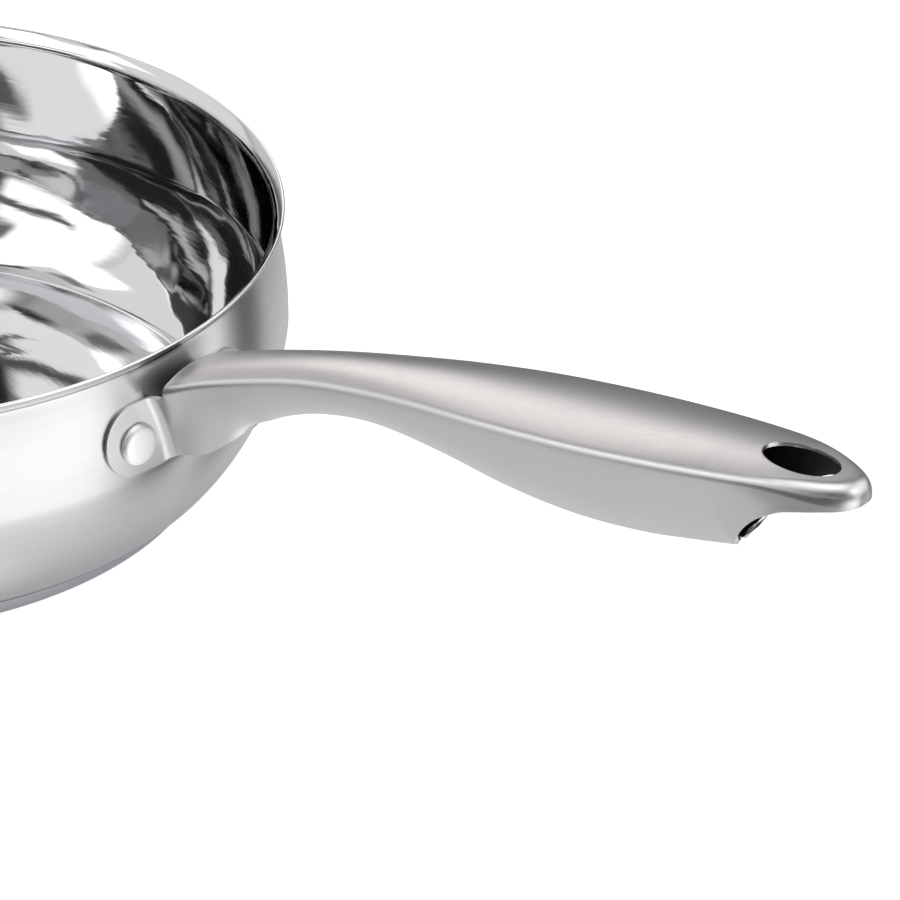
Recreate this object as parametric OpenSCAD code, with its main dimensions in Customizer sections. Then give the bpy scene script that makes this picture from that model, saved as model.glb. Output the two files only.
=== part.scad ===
// Deep frying pan: drawn stainless body on a capsule base, with a hollow sheet handle on two rivets.
// The base stands on z = 0 around the origin, and the handle points along +X.

/* [Pan body] */
// Outer diameter of the rim
rim_d = 240; // [180:1:320]
// Height of the rim above the table
pan_h = 75.8; // [62:0.2:110]
// Thickness of the body's sheet
body_sheet = 0.8; // [0.5:0.1:1.2]
// How far the pouring lip leans out from the neck
lip_out = 2.6; // [1:0.1:5]
// Height of the pouring lip
lip_h = 3.5; // [2:0.1:7]
// How far the belly stands out from the neck
belly_out = 3.5; // [1:0.1:6]
// Height of the widest part of the belly
belly_h = 42.1; // [25:0.1:48]
// Width of the corner between the flat floor and the belly
corner_w = 20.5; // [10:0.1:26]

/* [Base] */
// How far the base cap's side stands in from the foot of the wall's corner
base_inset = 2; // [1:0.1:12]
// Thickness of the whole capsule base
base_h = 5.6; // [3.5:0.1:8]
// Thickness of the cap's sheet
cap_sheet = 0.6; // [0.4:0.1:1.2]
// Outer radius at the cap's lower corner
cap_round = 1.6; // [1.3:0.1:2.2]

/* [Handle] */
// Length of the handle from its front edge to its tip
handle_len = 207.6; // [150:0.2:260]
// Gap between the pan's neck and the handle's front edge
front_gap = 6.5; // [4:0.1:10]
// Drop from the rim to the handle's ridge at the front edge
front_drop = 8.2; // [6.5:0.1:9]
// Rise of the ridge from the front edge to the tip
handle_rise = 39.8; // [20:0.2:70]
// Largest width of the grip
grip_w = 35.8; // [26:0.1:44]
// Largest depth of the grip below its ridges
grip_depth = 25.7; // [18:0.1:34]
// Height of the crowned top above its ridges
crown_h = 2.8; // [1.5:0.1:5]
// Radius along the ridges
ridge_round = 2.2; // [1.6:0.1:3.5]
// Radius round the nose of the tip
nose_round = 5; // [2.2:0.1:5.5]
// Thickness of the handle's sheet
handle_sheet = 1; // [0.8:0.1:1.4]
// Slot left between the two folded edges underneath
seam_gap = 1.2; // [0.6:0.1:3]
// Radius of the edge turned in along that slot
curl_round = 1.6; // [1.5:0.1:2.4]

/* [Hang hole] */
// Length of the eye-shaped hole
hole_len = 21.3; // [12:0.1:28]
// Width of the hole
hole_w = 12.9; // [8:0.1:17]
// Distance from the hole's outer end to the handle's tip
hole_to_tip = 8; // [6:0.1:16]

/* [Ears and rivets] */
// Height of each ear, and twice the radius of its round end
ear_h = 20; // [16:0.2:24]
// Height of the ear's middle above its rivet
ear_lift = 1.1; // [0:0.1:2]
// Radius of the bend between the side wall and the ear
bend_r = 3; // [2.4:0.1:5]
// Distance between the rivets
rivet_spacing = 36.8; // [34:0.2:46]
// Drop from the rim to the rivets
rivet_drop = 23.1; // [20:0.1:26]
// Diameter of the outer rivet heads
head_d = 11.3; // [9:0.1:12.5]
// Height of the outer rivet heads
head_h = 2.1; // [1.6:0.1:3.5]
// Diameter of the inner rivet heads
inner_head_d = 11; // [9:0.1:13]
// Height of the inner rivet heads
inner_head_h = 1.7; // [1.2:0.1:3]
// Diameter of the rivet shanks
shank_d = 5; // [4:0.1:6.5]

/* [Hidden] */

// Clearances and the overrun of every cut
ear_gap = 0.15;
shank_clearance = 0.1;
head_seat = 0.02;
inner_head_clearance = 0.075;
core_clearance = 0.1;
cap_seam = 0.2;
overrun = 5;

// Heights and radii of the body's outer profile
rim_r = rim_d / 2;
lip_power = 1.8;
rim_lean = atan(lip_power * lip_out / lip_h);
neck_h = pan_h - lip_h - body_sheet / 2 * (1 + sin(rim_lean));
neck_r = rim_r - lip_out - body_sheet / 2 * (1 - cos(rim_lean));
belly_r = neck_r + belly_out;
floor_r = belly_r - corner_w;
base_r = floor_r - base_inset;
corner_power = 1.45;
wall_power = 2.07;
corner_steps = 14;
wall_steps = 10;
lip_steps = 6;
edge_steps = 4;

// Places along the handle, as shares of its length
front_r = neck_r + front_gap;
tip_x = front_r + handle_len;
grip_r = grip_w / 2;
taper_share = 0.59;
knee_share = 0.82;
pole_share = 0.936;
fan_steps = 16;
crown_steps = 5;
ridge_steps = 4;
curl_rows = 3;
bend_steps = 5;
grip_shares = [0, 0.02, 0.04, 0.06, 0.08, 0.1, 0.125, 0.155, 0.19, 0.23, 0.27, 0.31, 0.36, 0.41,
    0.46, 0.51, 0.57, 0.63, 0.7, 0.77, 0.8, 0.818, 0.832, 0.8355, 0.8395, 0.846];

// Rows of [share of the handle's length, share of the size named]
rise_shares = [[0, 0], [0.05, 0.112], [0.125, 0.256], [0.2, 0.381], [0.28, 0.486], [0.39, 0.603],
    [0.51, 0.7], [0.66, 0.805], [0.81, 0.907], [0.92, 0.975], [1, 1]];
width_shares = [[0, 0.72], [0.05, 0.637], [0.1, 0.607], [0.2, 0.585], [0.3, 0.67], [0.4, 0.8],
    [0.5, 0.93], [0.6, 0.985], [0.7, 1], [1, 1]];
depth_shares = [[0, 0.674], [0.02, 0.698], [0.045, 0.718], [0.07, 0.645], [0.1, 0.557], [0.13, 0.518],
    [0.16, 0.461], [0.22, 0.417], [0.3, 0.458], [0.4, 0.648], [0.5, 0.862], [0.6, 0.986], [0.7, 1.003],
    [0.78, 0.948], [0.82, 0.911], [1, 0.75]];
// Half the opening between the lower edges near the pan, as shares of the grip's half width
opening_shares = [[0, 0.45], [0.03, 0.42], [0.06, 0.34], [0.09, 0.24], [0.115, 0.175], [0.2, 0], [1, 0]];
// How the side wall curves in: low values turn in just below the ridge, high ones near the bottom
bow_shares = [[0, 0.75], [0.03, 0.8], [0.07, 1.1], [0.12, 1.7], [0.68, 1.8], [0.8, 1.55], [0.86, 1.92],
    [0.93, 3.4], [1, 3.4]];
// A small share of that curve left out at its start, so that the wall leaves the ridge at a slant
soft_start = 0.06;
// How much of the side wall is left beyond the mouth under the hang hole
mouth_shares = [[0.832, 1], [0.838, 0.902], [0.846, 0.717], [0.856, 0.601], [0.872, 0.438],
    [0.892, 0.254], [0.917, 0.11], [0.93, 0.076], [0.96, 0.03], [1, 0.012]];
// Rows of points down the side wall, as shares of it
wall_shares = [0, 0.1, 0.23, 0.38, 0.54, 0.7, 0.85, 1];
wall_rows = len(wall_shares) - 1;
// How high the crown stands along the grip and how far the turned edge runs, towards the round nose
crown_shares = [[0, 1], [0.8, 1], [0.86, 0.87], [0.9, 0.7], [0.95, 0.3], [1, 0.03]];
edge_shares = [[0, 1], [0.9, 1], [0.95, 0.65], [0.975, 0.35], [1, 0.15]];
nose_share = 0.86;
mouth_share = 0.832;
curl_start_share = 0.075;
curl_full_share = 0.13;
curl_end_share = 0.844;
curl_turn = 110;
curl_lean = 45;
curl_reach = curl_round * (sin(curl_turn - curl_lean) + sin(curl_lean));
tip_power = 0.38;

// The ears follow the wall around the rivets
rivet_z = pan_h - rivet_drop;
ear_z = rivet_z + ear_lift;
ear_top_row = 1;
ear_turns = [82, 70, 55, 38, 20, 0];

// Outer radius of the body at height z, between the base and the rim
function wall_r(z) =
    z < belly_h ? let (s = (z - base_h) / (belly_h - base_h))
        floor_r + corner_w * pow(1 - pow(1 - max(s, 0), corner_power), 1 / corner_power)
    : z < neck_h ? belly_r - belly_out * pow((z - belly_h) / (neck_h - belly_h), wall_power)
    : neck_r + lip_out * pow((z - neck_h) / lip_h, lip_power);

// Upward tilt of the wall's outer face at the rivets
rivet_r = wall_r(rivet_z);
rivet_tilt = atan((wall_r(rivet_z - body_sheet) - wall_r(rivet_z + body_sheet)) / (2 * body_sheet));

// How far the wall at height t above the rivet bends in from the rivet's flat
function wall_sag(t) = rivet_r - t * tan(rivet_tilt) - wall_r(rivet_z + t);

// The inner head stands off the wall just enough to clear its bend each way
inner_head_seat = inner_head_clearance + max(pow(inner_head_d / 2, 2) / (2 * rivet_r),
    wall_sag(inner_head_d / 2), wall_sag(-inner_head_d / 2));
rivet_angle = asin(rivet_spacing / 2 / rivet_r);

function unit(v) = v / norm(v);

// Each point of an open outline moved by d to its left
function beside(points, d) = [for (i = [0 : len(points) - 1])
    let (a = points[max(i - 1, 0)], b = points[min(i + 1, len(points) - 1)], t = unit(b - a))
    points[i] + d * [-t[1], t[0]]];

// Half circle that closes a sheet's edge, from point a round to point b
function edge_round(a, b) = let (c = (a + b) / 2, r = (a - b) / 2)
    [for (i = [1 : edge_steps - 1]) let (w = 180 * i / edge_steps)
        c + [r[0] * cos(w) - r[1] * sin(w), r[0] * sin(w) + r[1] * cos(w)]];

// Smooth value at place u of a table of [place, value] rows
function rise_at(t, i) = let (a = max(i - 1, 0), b = min(i + 1, len(t) - 1))
    (t[b][1] - t[a][1]) / (t[b][0] - t[a][0]);
function row_at(t, u, i = 0) = i >= len(t) - 2 || u <= t[i + 1][0] ? i : row_at(t, u, i + 1);
function smooth(t, u) = u <= t[0][0] ? t[0][1] : let (i = row_at(t, u), a = t[i], b = t[i + 1],
    h = b[0] - a[0], s = (u - a[0]) / h, s2 = s * s, s3 = s2 * s)
    a[1] * (2 * s3 - 3 * s2 + 1) + b[1] * (3 * s2 - 2 * s3)
    + h * (rise_at(t, i) * (s3 - 2 * s2 + s) + rise_at(t, i + 1) * (s3 - s2));

// Runs from 0 to 1 with a soft start and end as u goes from a to b
function ease(a, b, u) = let (s = min(max((u - a) / (b - a), 0), 1)) s * s * (3 - 2 * s);

// The columns of the handle's skin, as shares of its length, closing in towards the round tip
function columns() = concat(grip_shares,
    [for (i = [2 : fan_steps]) knee_share + (1 - knee_share) * sin(90 * i / fan_steps)]);

// Half width of the top between its ridges
function half_width(u) = let (w = max(u - taper_share, 0) / (1 - taper_share))
    grip_r * smooth(width_shares, u) * pow(max(1 - w * w, 0), tip_power);

// Height of the ridge
function ridge_z(u) = pan_h - front_drop + handle_rise * smooth(rise_shares, u);

// Where a column's middle and its ridge lie along the handle
function ridge_x(u) = front_r + u * handle_len;
function middle_x(u) = let (s = max(u - knee_share, 0) / (1 - knee_share),
    lag = (1 - knee_share) / (pole_share - knee_share) - 1)
    u <= knee_share ? ridge_x(u)
    : ridge_x(knee_share + (pole_share - knee_share) * s * (1 + lag * (1 - s)));

// One column of the skin: [distance from its middle, height above the ridge] from the crown
// over the ridge and down the side wall to the turned edge
function section(u) = let (
    reach = norm([ridge_x(u) - middle_x(u), half_width(u)]),
    crown = crown_h * smooth(crown_shares, u),
    r = ridge_round + (nose_round - ridge_round) * ease(nose_share, 1, u),
    flat = reach - r,
    drop = atan(2 * crown * flat / (reach * reach)),
    last = flat + r * sin(drop),
    last_z = crown * (1 - pow(last / reach, 2)),
    low_z = last_z - r * cos(drop),
    depth = grip_depth * smooth(depth_shares, u),
    left = u <= mouth_share ? 1 : smooth(mouth_shares, u),
    open = min(max(grip_r * smooth(opening_shares, u), seam_gap / 2 + curl_reach), flat),
    bow = smooth(bow_shares, u),
    full = pow(1 + soft_start, bow) - pow(soft_start, bow),
    lean = atan((reach - open) / depth * bow * pow(soft_start, bow - 1) / full),
    start = [flat + r * cos(lean), low_z - r * sin(lean)],
    wall = [for (s = wall_shares) let (t = left * s)
        [start[0] - (start[0] - open) * (pow(t + soft_start, bow) - pow(soft_start, bow)) / full,
         start[1] - (start[1] - low_z + depth) * t]],
    turn = curl_turn * ease(curl_start_share, curl_full_share, u)
        * (1 - ease(mouth_share, curl_end_share, u)),
    run = curl_round * curl_turn * PI / 180 * smooth(edge_shares, u),
    way = unit(wall[wall_rows] - wall[wall_rows - 1]))
    concat(
        [for (k = [0 : crown_steps]) let (d = last * k / crown_steps)
            [d, crown * (1 - pow(d / reach, 2))]],
        [for (k = [1 : ridge_steps]) let (a = 90 - drop - (90 - drop + lean) * k / ridge_steps)
            [flat + r * cos(a), low_z + r * sin(a)]],
        [for (k = [1 : wall_rows]) wall[k]],
        [for (k = [1 : curl_rows]) wall[wall_rows] + curl_step(way, turn, run, k)]);

// Way along the turned edge after k of its steps, bending by turn over the whole run
function curl_step(way, turn, run, k) = k == 0 ? [0, 0]
    : let (w = -turn * (k - 0.5) / curl_rows)
    curl_step(way, turn, run, k - 1)
    + run / curl_rows * [way[0] * cos(w) - way[1] * sin(w), way[0] * sin(w) + way[1] * cos(w)];

// The grip's skin as points, for the side wall on +Y
function grip_points(u) = let (s = section(u), x0 = middle_x(u), w = half_width(u),
    reach = norm([ridge_x(u) - x0, w]), along = (ridge_x(u) - x0) / reach, across = w / reach)
    [for (p = s) [x0 + along * p[0], across * p[0], ridge_z(u) + p[1]]];

first_wall_row = crown_steps + ridge_steps + ear_top_row;
last_row = crown_steps + ridge_steps + wall_rows + curl_rows;
ear_r = ear_gap + handle_sheet;

// One column of the ear: follows the body's wall at the angle given, between the edges of the ear
function ear_points(angle, half_h) = [for (k = [first_wall_row : last_row])
    let (s = (k - first_wall_row) / (last_row - first_wall_row), z = ear_z + half_h * (1 - 2 * s),
    r = wall_r(z) + ear_r)
    [r * cos(angle), r * sin(angle), z]];

// One column of the bend, a share of the way from the side wall to the ear
function bend_points(share, front) = [for (k = [first_wall_row : last_row])
    let (s = (k - first_wall_row) / (last_row - first_wall_row),
    half_h = ear_h / 2, z = front[k][2] * (1 - share) + (ear_z + half_h * (1 - 2 * s)) * share,
    r = wall_r(z) + ear_r + bend_r, yc = front[k][1] + bend_r, turn = 90 - asin(yc / r),
    a = -90 - turn * share)
    [sqrt(r * r - yc * yc) + bend_r * cos(a), yc + bend_r * sin(a), z]];

// The front column is set back to where the bend begins
function front_points(raw) = [for (k = [0 : last_row]) k < first_wall_row ? raw[k]
    : let (r = wall_r(raw[k][2]) + ear_r + bend_r, yc = raw[k][1] + bend_r)
    [sqrt(r * r - yc * yc), raw[k][1], raw[k][2]]];

// Outer half skin: ear columns first, then the bend, then the grip from the pan to the tip
function outer_half() = let (
    front = front_points(grip_points(0)),
    ear = [for (w = ear_turns)
        ear_points(rivet_angle + asin(ear_h / 2 * sin(w) / rivet_r), ear_h / 2 * cos(w))],
    bend = [for (i = [bend_steps : -1 : 1]) bend_points(i / bend_steps, front)],
    pad = [for (i = [0 : first_wall_row - 1]) undef])
    concat(
        [for (c = ear) concat(pad, c)],
        [for (c = bend) concat(pad, c)],
        [front],
        [for (u = columns()) if (u > 0) grip_points(u)]);

ear_columns = len(ear_turns) + bend_steps;
skin = outer_half();
last_column = len(skin) - 1;

function has(i, j) = i >= 0 && i <= last_column && j <= last_row
    && j >= (i < ear_columns ? first_wall_row : 0);

// The matching point on the sheet's other face, one sheet's thickness inwards
function flip(p) = [p[0], -p[1], p[2]];
function in_middle(i, j) = i == last_column || (j == 0 && i >= ear_columns);
function inside(i, j) = let (
    here = skin[i][j],
    east = i == last_column ? flip(skin[i - 1][j]) : skin[i + 1][j],
    west = has(i - 1, j) ? skin[i - 1][j] : here,
    south = has(i, j + 1) ? skin[i][j + 1] : here,
    north = j == 0 ? flip(skin[i][1]) : has(i, j - 1) ? skin[i][j - 1] : here,
    n = i == last_column && j == 0 ? [0, 0, 1] : unit(cross(east - west, south - north)))
    here - handle_sheet * [n[0], in_middle(i, j) ? 0 : n[1], n[2]];

cells = [for (i = [0 : last_column]) for (j = [0 : last_row]) if (has(i, j)) [i, j]];
ear_rows = last_row - first_wall_row + 1;

// Number of a point: the side wall on +Y has side 0, and both sides share the points in the middle
function id(i, j, side, face) = let (n = len(cells),
    k = i < ear_columns ? i * ear_rows + j - first_wall_row
        : ear_columns * ear_rows + (i - ear_columns) * (last_row + 1) + j)
    k + n * face + (in_middle(i, j) ? 0 : 2 * n * side);

// Two triangles, turned round where odd is true
function quad(a, b, c, d, odd) = odd ? [[a, c, b], [a, d, c]] : [[a, b, c], [a, c, d]];
function turned(side, face) = side + face == 1;

// The sheet's edge from the middle of its front, round the ear and along the lower edge to the tip
edge = concat(
    [for (j = [0 : first_wall_row]) [ear_columns, j]],
    [for (i = [ear_columns - 1 : -1 : 0]) [i, first_wall_row]],
    [for (j = [first_wall_row + 1 : last_row]) [0, j]],
    [for (i = [1 : last_column]) [i, last_row]]);

module folded_sheet() {
    outer = [for (c = cells) skin[c[0]][c[1]]];
    inner = [for (c = cells) inside(c[0], c[1])];
    points = concat(outer, inner, [for (p = outer) flip(p)], [for (p = inner) flip(p)]);
    walls = [for (side = [0, 1]) for (face = [0, 1]) for (c = cells) let (i = c[0], j = c[1])
        if (has(i + 1, j) && has(i, j + 1) && has(i + 1, j + 1))
            each quad(id(i, j, side, face), id(i, j + 1, side, face), id(i + 1, j + 1, side, face),
                id(i + 1, j, side, face), turned(side, face))];
    rims = [for (side = [0, 1]) for (k = [0 : len(edge) - 2]) let (a = edge[k], b = edge[k + 1])
        each quad(id(b[0], b[1], side, 0), id(a[0], a[1], side, 0), id(a[0], a[1], side, 1),
            id(b[0], b[1], side, 1), side == 1)];
    polyhedron(points, concat(walls, rims), convexity = 10);
}

module hang_hole() {
    x = tip_x - hole_to_tip - hole_len / 2;
    points = [for (a = [0 : 15 : 345]) [x + hole_len / 2 * cos(a), hole_w / 2 * sin(a)]];
    translate([0, 0, pan_h])
    linear_extrude(handle_rise + crown_h + overrun)
    polygon(points);
}

// Puts a shape on the wall at a rivet, with +Z out along the rivet's axis
module at_rivet(side) {
    rotate([0, 0, side * rivet_angle])
    translate([rivet_r, 0, rivet_z])
    rotate([0, 90 - rivet_tilt, 0])
    children();
}

module rivet_holes() {
    for (side = [-1, 1])
        at_rivet(side)
        translate([0, 0, -overrun])
        cylinder(h = 2 * overrun, d = shank_d + 2 * shank_clearance, $fn = 48);
}

module pan_body() {
    floor = [[0, base_h]];
    corner = [for (i = [0 : corner_steps]) let (a = 90 * i / corner_steps)
        [floor_r + corner_w * pow(sin(a), 2 / corner_power),
         base_h + (belly_h - base_h) * (1 - pow(cos(a), 2 / corner_power))]];
    wall = [for (i = [1 : wall_steps])
        let (z = belly_h + (neck_h - belly_h) * i / wall_steps) [wall_r(z), z]];
    lip = [for (i = [1 : lip_steps]) let (z = neck_h + lip_h * i / lip_steps) [wall_r(z), z]];
    outer = concat(floor, corner, wall, lip);
    inner = beside(outer, body_sheet);
    back = [for (i = [len(inner) - 1 : -1 : 0]) i == 0 ? [0, inner[0][1]] : inner[i]];
    color("silver")
    difference() {
        rotate_extrude($fn = 180)
        polygon(concat(outer, edge_round(outer[len(outer) - 1], inner[len(inner) - 1]), back));
        rivet_holes();
    }
}

module handle() {
    color("lightgray")
    difference() {
        folded_sheet();
        hang_hole();
        rivet_holes();
    }
}

module heat_core() {
    color("gray")
    translate([0, 0, cap_sheet])
    cylinder(h = base_h - cap_sheet, r = base_r - cap_sheet - core_clearance, $fn = 180);
}

module base_cap() {
    inner_round = cap_round - cap_sheet;
    outer = [for (a = [0 : 15 : 90]) [base_r - cap_round * (1 - sin(a)), cap_round * (1 - cos(a))]];
    inner = [for (a = [90 : -15 : 0])
        [base_r - cap_round + inner_round * sin(a), cap_round - inner_round * cos(a)]];
    color("darkgray")
    rotate_extrude($fn = 180)
    polygon(concat([[0, 0]], outer,
        [[base_r, base_h - cap_seam], [base_r - cap_sheet, base_h - cap_seam]],
        inner, [[0, cap_sheet]]));
}

// A solid rivet: flat-topped outer head with a bevelled edge, shank, and a domed head inside the pan
head_shares = [[0, 1], [0.45, 0.97], [0.74, 0.9], [0.87, 0.76], [0.96, 0.56], [1, 0.36], [1, 0]];
inner_shares = [[1, 0], [1, 0.25], [0.94, 0.52], [0.8, 0.76], [0.55, 0.92], [0.28, 0.985], [0, 1]];
module rivet(side) {
    top = ear_r + head_seat;
    low = -body_sheet - inner_head_seat;
    head = [for (p = head_shares) [p[0] * head_d / 2, top + p[1] * head_h]];
    tail = [for (p = inner_shares) [p[0] * inner_head_d / 2, low - p[1] * inner_head_h]];
    color("whitesmoke")
    at_rivet(side)
    rotate_extrude($fn = 64)
    polygon(concat(head, [[shank_d / 2, top], [shank_d / 2, low]], tail));
}

module rivet_right() {
    rivet(-1);
}

module rivet_left() {
    rivet(1);
}

pan_body();
heat_core();
base_cap();
handle();
rivet_right();
rivet_left();
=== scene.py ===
import math

import bmesh
import bpy
import numpy as np
from mathutils import Matrix, Vector


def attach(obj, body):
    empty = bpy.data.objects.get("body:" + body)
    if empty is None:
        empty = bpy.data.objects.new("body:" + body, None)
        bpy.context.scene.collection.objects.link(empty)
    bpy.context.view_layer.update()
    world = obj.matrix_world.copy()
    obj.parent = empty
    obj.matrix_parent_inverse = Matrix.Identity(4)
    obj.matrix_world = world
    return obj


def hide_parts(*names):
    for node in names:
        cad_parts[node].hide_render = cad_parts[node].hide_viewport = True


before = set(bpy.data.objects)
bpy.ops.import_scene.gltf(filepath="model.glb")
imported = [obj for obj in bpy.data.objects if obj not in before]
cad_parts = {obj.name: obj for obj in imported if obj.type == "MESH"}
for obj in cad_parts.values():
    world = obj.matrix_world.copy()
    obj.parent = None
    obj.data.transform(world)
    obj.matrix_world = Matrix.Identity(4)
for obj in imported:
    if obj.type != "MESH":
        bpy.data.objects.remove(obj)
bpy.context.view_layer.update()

# Pan body. One deep-drawn stainless sheet: flat floor, tight corner, bellied wall, neck and a
# flared pouring lip. The outside is satin, brushed round and round while it spins; the lip and the
# whole inside are polished to a mirror that still carries the faint ripples of the drawing.
MM = 0.001
rim_r = 119.96  # 40 micrometres under the CAD's, so that this rounder rim stays inside its box
pan_h, body_sheet = 75.8, 0.8
lip_out, lip_h, lip_power = 2.6, 3.5, 1.8
belly_out, belly_h, wall_power = 3.5, 42.1, 2.07
corner_w, corner_power, base_h = 20.5, 1.45, 5.6
corner_steps, wall_steps, lip_steps, rim_steps, floor_border = 40, 30, 14, 9, 1.5
rim_lean = math.atan(lip_power * lip_out / lip_h)
neck_h = pan_h - lip_h - body_sheet / 2 * (1 + math.sin(rim_lean))
neck_r = rim_r - lip_out - body_sheet / 2 * (1 - math.cos(rim_lean))
belly_r = neck_r + belly_out
floor_r = belly_r - corner_w
weld = 1e-6


def wall_r(z):
    """Outer radius of the body at height z, in millimetres."""
    if z < belly_h:
        s = max((z - base_h) / (belly_h - base_h), 0)
        return floor_r + corner_w * (1 - (1 - s) ** corner_power) ** (1 / corner_power)
    if z < neck_h:
        return belly_r - belly_out * ((z - belly_h) / (neck_h - belly_h)) ** wall_power
    return neck_r + lip_out * ((z - neck_h) / lip_h) ** lip_power


def body_outline():
    """The body's section as (radius, height), from under the floor over the rim to the floor
    inside, and the number of the point where the lip begins."""
    outer = [(0, base_h), (floor_r * 0.5, base_h), (floor_r - floor_border, base_h)]
    for i in range(corner_steps + 1):
        a = math.radians(90 * i / corner_steps)
        outer.append((floor_r + corner_w * math.sin(a) ** (2 / corner_power),
                      base_h + (belly_h - base_h) * (1 - math.cos(a) ** (2 / corner_power))))
    outer += [(wall_r(z), z) for z in np.linspace(belly_h, neck_h, wall_steps + 1)[1:]]
    lip_start = len(outer) - 1
    outer += [(wall_r(z), z) for z in np.linspace(neck_h, neck_h + lip_h, lip_steps + 1)[1:]]
    points = np.array(outer)
    steps = np.gradient(points, axis=0)
    steps /= np.linalg.norm(steps, axis=1)[:, None]
    inner = points + body_sheet * np.stack([-steps[:, 1], steps[:, 0]], -1)
    inner[0, 0] = 0
    middle, spoke = (points[-1] + inner[-1]) / 2, (points[-1] - inner[-1]) / 2
    edge = []
    for i in range(1, rim_steps + 1):
        a = math.radians(180 * i / rim_steps)
        edge.append((middle[0] + spoke[0] * math.cos(a) - spoke[1] * math.sin(a),
                     middle[1] + spoke[0] * math.sin(a) + spoke[1] * math.cos(a)))
    return [tuple(p) for p in points] + edge + [tuple(p) for p in inner[::-1]], lip_start


def add(tree, kind, sockets=None, **settings):
    """A new node with its settings, its sockets filled with values or linked to other sockets."""
    n = tree.nodes.new(kind)
    for key, value in settings.items():
        setattr(n, key, value)
    for key, value in (sockets or {}).items():
        if isinstance(value, bpy.types.NodeSocket):
            tree.links.new(value, n.inputs[key])
        else:
            n.inputs[key].default_value = value
    return n


def put(name, data):
    """A new object in the scene."""
    made = bpy.data.objects.new(name, data)
    bpy.context.scene.collection.objects.link(made)
    return made


def wheel_tree():
    """Turns a flat outline round the Z axis, and puts the turned shape where it belongs."""
    tree = bpy.data.node_groups.new("turned_on_the_wheel", "GeometryNodeTree")
    face = tree.interface
    face.new_socket("Geometry", in_out="INPUT", socket_type="NodeSocketGeometry")
    for name, kind in (("Steps round", "NodeSocketInt"), ("Wheel radius", "NodeSocketFloat"),
                       ("Lean", "NodeSocketFloat"), ("Reach", "NodeSocketFloat"),
                       ("Height", "NodeSocketFloat"), ("Bearing", "NodeSocketFloat"),
                       ("Polished from", "NodeSocketFloat"), ("Finish", "NodeSocketMaterial"),
                       ("Polish", "NodeSocketMaterial")):
        face.new_socket(name, in_out="INPUT", socket_type=kind)
    face.new_socket("Geometry", in_out="OUTPUT", socket_type="NodeSocketGeometry")
    given = add(tree, "NodeGroupInput").outputs
    outline = add(tree, "GeometryNodeMeshToCurve", {"Mesh": given["Geometry"]})
    wheel = add(tree, "GeometryNodeCurvePrimitiveCircle",
                {"Resolution": given["Steps round"], "Radius": given["Wheel radius"]})
    turned = add(tree, "GeometryNodeCurveToMesh",
                 {"Curve": wheel.outputs["Curve"], "Profile Curve": outline.outputs["Curve"]})
    closed = add(tree, "GeometryNodeMergeByDistance",
                 {"Geometry": turned.outputs["Mesh"], "Distance": weld})
    outward = add(tree, "GeometryNodeFlipFaces", {"Mesh": closed.outputs["Geometry"]})
    lean = add(tree, "ShaderNodeCombineXYZ", {"Y": given["Lean"]})
    place = add(tree, "ShaderNodeCombineXYZ", {"X": given["Reach"], "Z": given["Height"]})
    leaned = add(tree, "GeometryNodeTransform",
                 {"Geometry": outward.outputs["Mesh"], "Rotation": lean.outputs["Vector"],
                  "Translation": place.outputs["Vector"]})
    bearing = add(tree, "ShaderNodeCombineXYZ", {"Z": given["Bearing"]})
    placed = add(tree, "GeometryNodeTransform",
                 {"Geometry": leaned.outputs["Geometry"], "Rotation": bearing.outputs["Vector"]})
    soft = add(tree, "GeometryNodeSetShadeSmooth", {"Geometry": placed.outputs["Geometry"]})
    real = add(tree, "GeometryNodeRealizeInstances", {"Geometry": soft.outputs["Geometry"]})
    first = add(tree, "GeometryNodeSetMaterial",
                {"Geometry": real.outputs["Geometry"], "Material": given["Finish"]})
    along = add(tree, "GeometryNodeInputNamedAttribute", {"Name": "along"}, data_type="FLOAT")
    polished = add(tree, "FunctionNodeCompare",
                   {"A": along.outputs["Attribute"], "B": given["Polished from"]},
                   data_type="FLOAT", operation="GREATER_THAN")
    last = add(tree, "GeometryNodeSetMaterial",
               {"Geometry": first.outputs["Geometry"], "Selection": polished.outputs["Result"],
                "Material": given["Polish"]})
    add(tree, "NodeGroupOutput", {"Geometry": last.outputs["Geometry"]})
    return tree


wheel = wheel_tree()
wheel_radius = 0.05


def turn_piece(name, outline, finish, polish=None, polished_from=1.0, steps_round=320,
               lean=0.0, reach=0.0, height=0.0, bearing=0.0):
    """A plain mesh object turned from an outline in millimetres, each point carrying how far
    along the outline it lies, in metres. Polish takes over from finish at polished_from."""
    points = np.array(outline) * MM
    along = np.concatenate([[0], np.cumsum(np.linalg.norm(np.diff(points, axis=0), axis=1))])
    mesh = bpy.data.meshes.new(name + "_outline")
    mesh.from_pydata([(r - wheel_radius, -z, 0) for r, z in points],
                     [(i, i + 1) for i in range(len(points) - 1)], [])
    mesh.attributes.new("along", "FLOAT", "POINT").data.foreach_set("value", along)
    raw = put(name + "_raw", mesh)
    press = raw.modifiers.new("turn", "NODES")
    press.node_group = wheel
    values = {"Steps round": steps_round, "Wheel radius": wheel_radius, "Lean": lean,
              "Reach": reach, "Height": height, "Bearing": bearing,
              "Polished from": polished_from, "Finish": finish, "Polish": polish or finish}
    for item in wheel.interface.items_tree:
        if item.in_out == "INPUT" and item.name in values:
            press[item.identifier] = values[item.name]
    evaluated = raw.evaluated_get(bpy.context.evaluated_depsgraph_get())
    solid = bpy.data.meshes.new_from_object(evaluated)
    bpy.data.objects.remove(raw)
    return put(name, solid)


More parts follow.
